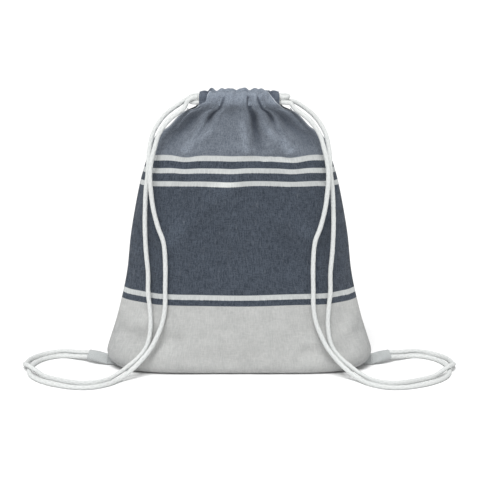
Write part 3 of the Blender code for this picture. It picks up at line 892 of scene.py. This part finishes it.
def stripedCotton():
    board = Board("stripedCotton")
    across, along, where = board.places()
    drift = board.noise(board.vector(across * 60.0, along * 60.0), 1.0, 2.0, 0.5)
    a = across / stripes["yarn"] + drift * 1.2
    b = along / stripes["yarn"] + drift * 1.2
    parity = (a.floor() + b.floor()).modulo(2.0)
    overWarp = (a.fract() * math.pi).sine()
    overWeft = (b.fract() * math.pi).sine()
    weave = overWarp * parity + overWeft * (1.0 - parity)

    def streaks(acrossScale, alongScale, shift, roughness):
        place = board.vector(across * acrossScale, along * alongScale, shift)
        return board.noise(place, 1.0, 3.0, roughness)

    warp = streaks(640.0, 110.0, 3.1, 0.6)
    slubs = streaks(330.0, 90.0, 1.4, 0.55)
    patches = board.noise(where, 55.0, 3.0, 0.6)
    grain = {"weave": weave, "weft": streaks(110.0, 640.0, 7.7, 0.6),
             "mottle": board.noise(where, 620.0, 4.0, 0.7)}
    tones = {}
    for name, (reach, low, high, covers) in yarns.items():
        tone = board.mix(warp.ramp(*reach), paint(*low), paint(*high))
        for source, limits, strength, cover in covers:
            tone = board.mix(grain[source].ramp(*limits, *strength), tone, paint(*cover))
        tones[name] = tone

    ragged = along + (warp - 0.5) * 0.0012
    soft = stripes["softness"]

    def above(level):
        return ragged.ramp(level - soft, level + soft)

    def zone(low, high):
        low, high = heightToPattern(low), heightToPattern(high)
        return above(low) * ragged.ramp(high - soft, high + soft, 1.0, 0.0)

    top = heightToPattern(stripes["whites"][-1][1])
    colour = board.mix(above(top), tones["dark"], tones["upper"])
    for low, high in (*stripes["whites"], (stripes["lowDark"], stripes["lowWhite"])):
        colour = board.mix(zone(low, high), colour, tones["white"])
    colour = board.mix(above(heightToPattern(stripes["lowBand"])), tones["grey"], colour)

    colour = board.mix(patches.ramp(0.35, 0.7, 0.0, 0.08), colour, paint(30, 34, 42))
    colour = board.mix(slubs.ramp(0.6, 0.82, 0.0, 0.08), colour, paint(206, 209, 212))
    # painted highlight along the side seam, as a lighter tint
    seam = board.attribute("seamHighlight")
    colour = board.mix(seam.ramp(0.0, 1.0, 0.0, 0.45), colour, paint(176, 181, 186))
    # painted shade in the folds and under the bag, painted highlight on the ridges
    paintedShading = board.attribute("paintedShading")
    # painted light on the cloth over the casing, as if lit from above
    over = heightToPattern(bag["height"])
    # darker tint for painted shade, lighter tints for painted highlight and painted light
    for mask, tint in ((paintedShading.ramp(0.0, 1.0), (0.34, 0.36, 0.4)),
                       ((paintedShading * -1.0).ramp(0.0, 1.0), (1.45, 1.44, 1.42)),
                       (along.ramp(over, over + 0.013), (1.55, 1.55, 1.55))):
        colour = board.mix(mask, colour, tint, "MULTIPLY")
    normal = board.bump(weave * 0.6 + slubs * 0.7 + warp * 0.5, 0.0004, 0.5)
    return board.finish(colour, slubs.ramp(0.3, 0.7, 0.96, 0.84), normal, 0.18, 0.1, 0.6)


stripedMaterial = stripedCotton()
skins = {word: clothGrid(**sheet) for word, sheet in sheets.items()}
grids = [grid for grid, _, _ in skins.values()]
grids = settle(grids)


def seamHighlightShare(grid):
    # how much highlight is painted along the side seam: 1 on the side seam, fading in a few
    # millimetres, above the widest part only
    x = np.abs(grid[:, :, 0])
    widest = x[:, -1][:, None]
    near = smoothStep(*cloth["seamFade"], widest - x)
    return near * smoothStep(0.295, 0.315, grid[:, :, 2])


def clothSkin(name, grid, facing, pattern, near, paintedShading, closed=False):
    faces = gridFaces(*grid.shape[:2], closed)
    faces = faces if facing < 0 else faces[:, ::-1]
    made = meshObject(name, grid.reshape(-1, 3), faces, stripedMaterial, pattern.reshape(-1, 2))
    # painted highlight along the side seam
    addValue(made, "seamHighlight", near)
    # painted shade and painted highlight, read by the cloth's colour
    addValue(made, "paintedShading", paintedShading)
    return made


cloths = []
for word, grid in zip(skins, grids):
    _, pattern, paintedShading = skins[word]
    facing = sheets[word]["facing"]
    skin = clothSkin(f"{word}Cloth", grid, facing, pattern, seamHighlightShare(grid), paintedShading)
    thicken(skin, cloth["thickness"])
    cloths.append(dress(skin, "bag", f"{word}_panel"))
print("cloth of the bag made")


# casings

def casingPiece(name, facing, folds, seed):
    x = np.linspace(-casing["half"], casing["half"], hem["stations"] + 1)[:, None]
    angle = 2 * math.pi * np.arange(hem["ringSteps"])[None, :] / hem["ringSteps"]
    grid = casingSurface(x, angle, facing, folds, seed)
    around = heightToPattern(bag["height"]) + 0.004 + 0.0085 * angle
    pattern = np.stack([grid[:, :, 0] * 1.9, np.broadcast_to(around, grid.shape[:2])], axis=-1)
    # painted shade: in the groove beside each end drum, and over the end drums
    shade = np.exp(-((np.abs(x) - hem["grooveX"]) / 0.0035) ** 2)
    shade = shade + 0.72 * smoothStep(0.034, 0.039, np.abs(x)) + 0 * angle
    made = clothSkin(name, grid, facing, pattern, np.zeros(shade.size), np.clip(shade, 0.0, 1.0),
                     closed=True)
    thicken(made, hem["wall"])
    return made


for skin, (word, sheet) in zip(cloths, sheets.items()):
    piece = casingPiece(f"{word}Hem", sheet["facing"], sheet["folds"], sheet["seed"])
    dress(piece, "bag", f"{word}_casing")
print("casings made")


# tabs

def greyTape():
    board = Board("greyTape")
    across, along, where = board.places()
    # a herringbone tape: ribs that lean one way, then the other
    rib = (across / 0.0036).fract()
    lean = (rib - 0.5).size() * 4.0
    twill = ((along / 0.0011 + lean) * (2 * math.pi)).sine()
    threads = ((across / 0.0006) * (2 * math.pi)).sine()
    fibres = board.noise(where, 1300.0, 3.0, 0.6)
    patches = board.noise(where, 60.0, 2.0, 0.5)
    colour = board.mix(twill.ramp(-0.8, 0.8), paint(160, 164, 164), paint(198, 201, 201))
    colour = board.mix(fibres.ramp(0.35, 0.7, 0.0, 0.4), colour, paint(184, 188, 188))
    colour = board.mix(patches.ramp(0.45, 0.75, 0.0, 0.2), colour, paint(150, 154, 156))
    normal = board.bump(twill * 0.5 + threads * 0.2 + fibres * 0.4, 0.00035, 0.6)
    return board.finish(colour, fibres.ramp(0.3, 0.7, 0.94, 0.84), normal, 0.2, 0.08)


def tabSection(out):
    share = float(np.clip(out / tab["flare"], 0.0, 1.0))
    flatRadius = tab["tape"] + 0.00015
    flat = np.array([0.0, tab["rootHeight"] / 2 - flatRadius])
    half = cord["radius"] + cord["gap"] / 2
    full = half * np.array([math.sin(tab["tilt"]), math.cos(tab["tilt"])])
    fullRadius = cord["radius"] + 0.0003 + tab["tape"]
    return flat + (full - flat) * share, flatRadius + (fullRadius - flatRadius) * share


def makeTab(name, side, material):
    halfTurn = tab["halfTurn"]
    rows = []
    for out in tab["stations"]:
        halfLine, radius = tabSection(out)
        lean = math.atan2(halfLine[1], halfLine[0])
        share = float(np.clip(out / tab["flare"], 0.0, 1.0))
        middle = tab["rootZ"] + (tab["mouthZ"] - tab["rootZ"]) * share
        pucker = 1.0 + 0.02 * math.sin(out * 900.0)
        row = []
        for end in (1, -1):
            for turn in range(halfTurn):
                angle = lean + (0 if end > 0 else math.pi)
                angle += math.pi * (turn / (halfTurn - 1) - 0.5)
                crease = 1.0 + 0.03 * math.sin(angle * 3.0 + out * 260.0) * share
                reach = radius * pucker * crease
                across = end * halfLine[0] + reach * math.cos(angle)
                x, y = tabPlace(side, out, -across)
                row.append((x, y, middle + end * halfLine[1] + reach * math.sin(angle)))
        rows.append(row)
    grid = np.array(rows)
    grid[:, :, 2] = np.maximum(grid[:, :, 2], 0.0004)
    faces = gridFaces(len(rows), 2 * halfTurn, closed=True)
    if side < 0:
        faces = faces[:, ::-1]
    around = np.linalg.norm(np.diff(np.concatenate([grid, grid[:, :1]], axis=1), axis=1), axis=2)
    around = np.concatenate([np.zeros((len(rows), 1)), np.cumsum(around, axis=1)[:, :-1]], axis=1)
    along = np.broadcast_to(np.array(tab["stations"])[:, None], around.shape)
    pattern = np.stack([along, around], axis=-1)
    made = meshObject(name, grid.reshape(-1, 3), faces, material, pattern.reshape(-1, 2))
    thicken(made, tab["wall"])
    return made


tapeMaterial = greyTape()
for word, side in sides:
    sleeve = makeTab(f"{word}Sleeve", side, tapeMaterial)
    dress(sleeve, "bag", f"{word}_tab")
print("tabs made")


# thread work, grown along paths with geometry nodes

def sewingThread(name, light, dark):
    board = Board(name)
    where = board.room()
    x, y, z = board.parts(where)
    twist = ((x + y * 0.7 + z) * (2 * math.pi / 0.0007)).sine()
    fuzz = board.noise(where, 2200.0, 2.0, 0.6)
    colour = board.mix(twist.ramp(-0.7, 0.7), dark, light)
    colour = board.mix(fuzz.ramp(0.4, 0.7, 0.0, 0.3), colour, light)
    normal = board.bump(twist * 0.5 + fuzz * 0.4, 0.0001, 0.6)
    return board.finish(colour, fuzz.ramp(0.3, 0.7, 0.6, 0.8), normal, 0.35, 0.05)


class Grower(Tree):
    # a geometry node tree that takes a path and has named inputs
    def __init__(self, name, inputs):
        super().__init__(bpy.data.node_groups.new(name, "GeometryNodeTree"))
        face = self.tree.interface
        face.new_socket(name="Path", in_out="INPUT", socket_type="NodeSocketGeometry")
        for label, value in inputs.items():
            kind = "Int" if isinstance(value, int) else "Float"
            made = face.new_socket(name=label, in_out="INPUT", socket_type="NodeSocket" + kind)
            made.default_value = value
        face.new_socket(name="Material", in_out="INPUT", socket_type="NodeSocketMaterial")
        face.new_socket(name="Made", in_out="OUTPUT", socket_type="NodeSocketGeometry")
        self.source = self.tree.nodes.new("NodeGroupInput")
        self.target = self.tree.nodes.new("NodeGroupOutput")
        self.curve = self.node("GeometryNodeMeshToCurve", {}, {0: self.given("Path")})

    def given(self, name):
        return Signal(self, self.source.outputs[name])

    def close(self, geometry):
        smooth = self.node("GeometryNodeSetShadeSmooth", {}, {"Geometry": geometry})
        solid = self.node("GeometryNodeRealizeInstances", {}, {0: smooth})
        painted = self.node("GeometryNodeSetMaterial", {},
                            {"Geometry": solid, "Material": self.given("Material")})
        self.plug(self.target.inputs[0], painted)
        return self.tree


def stitchTree():
    grow = Grower("runningStitches", {
        "Spacing": 0.003, "Stitch Length": 0.0022, "Thread Radius": 0.0003, "Tilt": 0.06,
        "Seed": 3})
    even = grow.node("GeometryNodeResampleCurve", {"mode": "LENGTH"},
                     {"Curve": grow.curve, "Length": grow.given("Spacing")})
    bead = grow.node("GeometryNodeMeshUVSphere", {}, {"Segments": 8, "Rings": 6, "Radius": 1.0})
    radius = grow.given("Thread Radius")
    size = grow.vector(grow.given("Stitch Length") * 0.5, radius, radius)
    tangent = grow.node("GeometryNodeInputTangent")
    turned = grow.node("FunctionNodeAlignRotationToVector", {"axis": "X"}, {"Vector": tangent})
    tilt = grow.given("Tilt")
    sway = grow.node("FunctionNodeRandomValue", {"data_type": "FLOAT"},
                     {2: tilt * -1.0, 3: tilt, "Seed": grow.given("Seed")}, 1)
    euler = grow.node("FunctionNodeEulerToRotation", {}, {0: grow.vector(0.0, sway, sway)})
    both = grow.node("FunctionNodeRotateRotation", {"rotation_space": "LOCAL"},
                     {0: turned, 1: euler})
    return grow.close(grow.node("GeometryNodeInstanceOnPoints", {}, {
        "Points": even, "Instance": bead, "Rotation": both, "Scale": size}))


def threadTree():
    grow = Grower("laidThread", {"Thread Radius": 0.0002, "Sides": 6})
    ring = grow.node("GeometryNodeCurvePrimitiveCircle", {"mode": "RADIUS"},
                     {"Resolution": grow.given("Sides"), "Radius": grow.given("Thread Radius")})
    return grow.close(grow.node("GeometryNodeCurveToMesh", {}, {
        "Curve": grow.curve, "Profile Curve": ring, "Fill Caps": True}))


def grown(name, path, tree, values):
    # the mesh that a geometry node tree makes along a path
    mesh = bpy.data.meshes.new(name + "Path")
    edges = [(i, i + 1) for i in range(len(path) - 1)]
    mesh.from_pydata([tuple(point) for point in path], edges, [])
    holder = linked(name + "Path", mesh)
    modifier = holder.modifiers.new("grow", "NODES")
    modifier.node_group = tree
    for item in tree.interface.items_tree:
        if item.item_type == "SOCKET" and item.in_out == "INPUT" and item.name in values:
            modifier[item.identifier] = values[item.name]
    graph = bpy.context.evaluated_depsgraph_get()
    made = bpy.data.meshes.new_from_object(holder.evaluated_get(graph), depsgraph=graph)
    bpy.data.objects.remove(holder)
    made.name = name
    if not made.materials:
        made.materials.append(values["Material"])
    return linked(name, made)


stitching = {
    "hemSpacing": 0.0034,
    "hemStitch": 0.0024,
    "hemRadius": 0.00028,
    "overlockPitch": 0.0026,
    "overlockRadius": 0.00024,
    "overlockRise": 0.00095,
    "tackPitch": 0.00042,
    "tackRadius": 0.00019,
    "tackRise": 0.00025,
    "sleeveTack": (0.0085, 0.0018),
    "slitTack": (0.0058, 0.0022),
}
allowance = {
    "stations": 5,
    "width": 0.007,
    "apart": 0.0008,
    "wall": 0.0007,
    "sideInset": (0.0024, 0.0088),
    "sideHeights": (0.026, 0.309),
    "ripple": 0.0002,
    "baseHalf": 0.134,
    "baseInset": 0.0021,
    "baseWidth": 0.0062,
}
blueThread = sewingThread("blueThread", paint(120, 128, 140), paint(84, 92, 105))
greyThread = sewingThread("greyThread", paint(206, 208, 208), paint(168, 171, 172))
runningStitches = stitchTree()
laidThread = threadTree()


def hemStitchPath(grid, facing):
    # on the outside of the casing, a little above its lower edge
    row = grid[cloth["rows"] + 1]
    inner = row[6:-6].copy()
    inner[:, 1] += facing * 0.00012
    inner[:, 2] += 0.00015 * np.sin(inner[:, 0] * 240.0)
    return evenly(inner, 0.0008)


for grid, (word, sheet) in zip(grids, sheets.items()):
    facing = sheet["facing"]
    stitches = grown(f"{word}HemStitches", hemStitchPath(grid, facing), runningStitches, {
        "Spacing": stitching["hemSpacing"], "Stitch Length": stitching["hemStitch"],
        "Thread Radius": stitching["hemRadius"], "Seed": 5 + facing, "Material": blueThread})
    dress(stitches, "bag", f"{word}_casing_stitching")


def overlockPath(outer, inner):
    # loops that run over the raw edge and back, on both faces of the allowance
    pitch = stitching["overlockPitch"]
    far = travelled(outer)
    turns = ((0.15, -1), (1.04, -1), (1.04, 1), (0.15, 1))
    points = []
    for index in range(int(far[-1] / pitch) * len(turns)):
        place = (index / len(turns)) * pitch
        along, within = (np.array([np.interp(place, far, line[:, axis]) for axis in range(3)])
                         for line in (outer, inner))
        share, face = turns[index % len(turns)]
        point = along + (within - along) * share
        point[1] += face * stitching["overlockRise"]
        points.append(point)
    return evenly(smoothCurve(points, 3), 0.0006)


def allowanceStrip(name, outer, inner, replaced):
    # two layers of cloth, one against the other, with thread over their raw edge
    across = np.linspace(0.0, 1.0, allowance["stations"])[None, :, None]
    grid = outer[:, None, :] * (1 - across) + inner[:, None, :] * across
    wave = np.sin(np.arange(len(outer)) * 0.9)[:, None]
    grid[:, :, 1] += allowance["ripple"] * wave * across[:, :, 0]
    pattern = np.stack(np.broadcast_arrays(across[:, :, 0] * allowance["width"],
                                           travelled(outer)[:, None]), axis=-1)
    none = np.zeros(grid.shape[:2])
    layers = []
    for facing in (-1, 1):
        layer = grid + np.array([0.0, facing * allowance["apart"], 0.0])
        layers.append(clothSkin(f"{name}{facing}", layer, facing, pattern, none, none))
    strip = joined(name, layers)
    thicken(strip, allowance["wall"], 0)
    dress(strip, "bag", replaced)
    loops = grown(f"{name}Overlock", overlockPath(outer, inner), laidThread, {
        "Thread Radius": stitching["overlockRadius"], "Material": greyThread})
    dress(loops, "bag", replaced)


fineRows, _ = profileRows(500)
above = np.argmax(fineRows[:, 0])
outlineX = fineRows[above:, 0]
outlineZ = fineRows[above:, 1]


def sideLine(side, inward):
    z = np.linspace(*allowance["sideHeights"], 96)
    x = np.interp(z, outlineZ, outlineX)
    step = 0.001
    slopeX = np.interp(z + step, outlineZ, outlineX) - x
    long = np.sqrt(slopeX ** 2 + step ** 2)
    moveX = -step / long * inward
    moveZ = slopeX / long * inward
    return np.stack([side * (x + moveX), np.zeros_like(z), z + moveZ], axis=1)


for word, side in sides:
    outer, inner = (sideLine(side, inset) for inset in allowance["sideInset"])
    allowanceStrip(f"{word}Allowance", outer, inner, f"{word}_side_seam")
baseX = np.linspace(-allowance["baseHalf"], allowance["baseHalf"], 90)
baseOuter = np.stack([baseX, 0 * baseX, 0 * baseX + allowance["baseInset"]], axis=1)
baseInner = baseOuter + np.array([0.0, 0.0, allowance["baseWidth"]])
allowanceStrip("baseAllowance", baseOuter, baseInner, "bottom_seam")


def tackPath(centre, along, across, out, length, width):
    # a close zigzag of thread over a core
    centre, along, across, out = (np.array(v, dtype=float) for v in (centre, along, across, out))
    count = int(length / stitching["tackPitch"])
    points = []
    for index in range(count + 1):
        place = (index / count - 0.5) * length
        side = 1 if index % 2 else -1
        points.append(centre + along * place + across * side * width / 2)
        middle = place + 0.5 * length / count
        if index < count:
            points.append(centre + along * middle + out * stitching["tackRise"])
    return smoothCurve(points, 3)


def bartack(name, replaced, thread, path):
    tack = grown(name, path, laidThread,
                 {"Thread Radius": stitching["tackRadius"], "Material": thread})
    dress(tack, "bag", replaced)


for word, side in sides:
    root = tackPath((side * (tab["foot"] + 0.0006), -0.00175, tab["rootZ"]), (0, 0, 1),
                    (side, 0, 0), (0, -1, 0), *stitching["sleeveTack"])
    bartack(f"{word}SleeveTack", f"{word}_tab_bartack", greyThread, root)

    low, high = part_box(f"{word}_slit_bartack")
    slope = Vector((high.x - low.x, 0.0, side * (low.z - high.z))).normalized()
    outward = Vector((side * abs(slope.z), 0.0, abs(slope.x)))
    slit = tackPath(tuple((low + high) / 2), (0, 1, 0), tuple(slope), tuple(outward),
                    *stitching["slitTack"])
    bartack(f"{word}SlitTack", f"{word}_slit_bartack", blueThread, slit)
print("thread work done")
